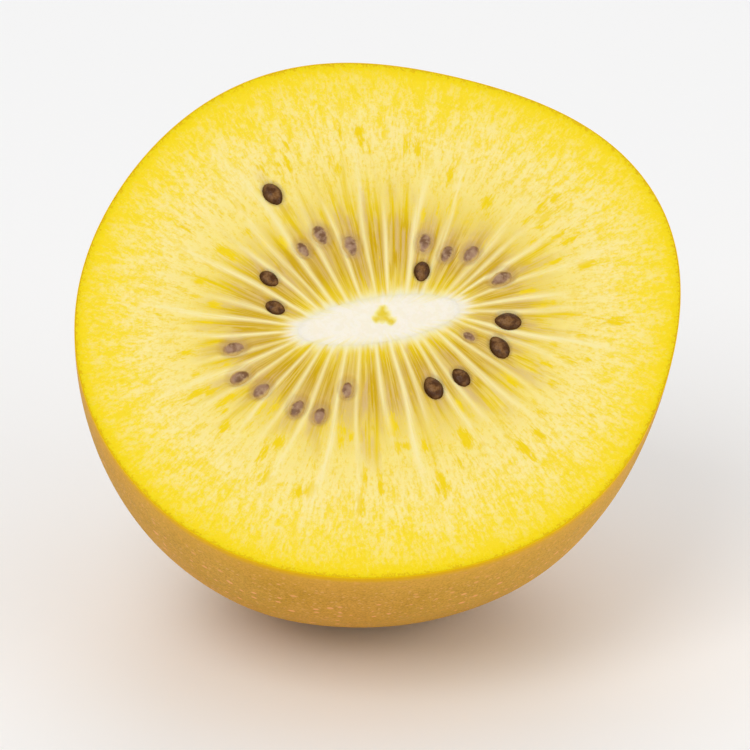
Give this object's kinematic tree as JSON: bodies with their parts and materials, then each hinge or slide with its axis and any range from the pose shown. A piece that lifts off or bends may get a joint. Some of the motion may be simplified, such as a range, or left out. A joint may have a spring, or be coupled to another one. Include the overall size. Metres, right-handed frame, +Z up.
{
  "type": "golden kiwi fruit half",
  "caption": "Half of a golden kiwi fruit, cut straight across its middle, lying on its side with the cut face tilted up: thin brown skin, yellow flesh, pale core and dark seeds.",
  "frame": {"origin": "on the plane that the half rests on, under the middle of its box", "axes": "+Z up, +X the long way across the cut face, and the cut face looks towards -Y and up"},
  "size_m": [0.0536, 0.0496, 0.0477],
  "materials": {
    "skin": "matt, fine-grained",
    "flesh": "wet and juicy",
    "core": "moist, fibrous",
    "seed": "glossy"
  },
  "bodies": {
    "root": {"skin": "skin", "flesh": "flesh", "core": "core", "seed_01": "seed", "seed_02": "seed", "seed_03": "seed", "seed_04": "seed", "seed_05": "seed", "seed_06": "seed", "seed_07": "seed", "seed_08": "seed", "seed_09": "seed", "seed_10": "seed", "seed_11": "seed", "seed_12": "seed", "seed_13": "seed", "seed_14": "seed", "seed_15": "seed", "seed_16": "seed", "seed_17": "seed", "seed_18": "seed", "seed_19": "seed", "seed_20": "seed", "seed_21": "seed", "seed_22": "seed"}
  },
  "joints": []
}
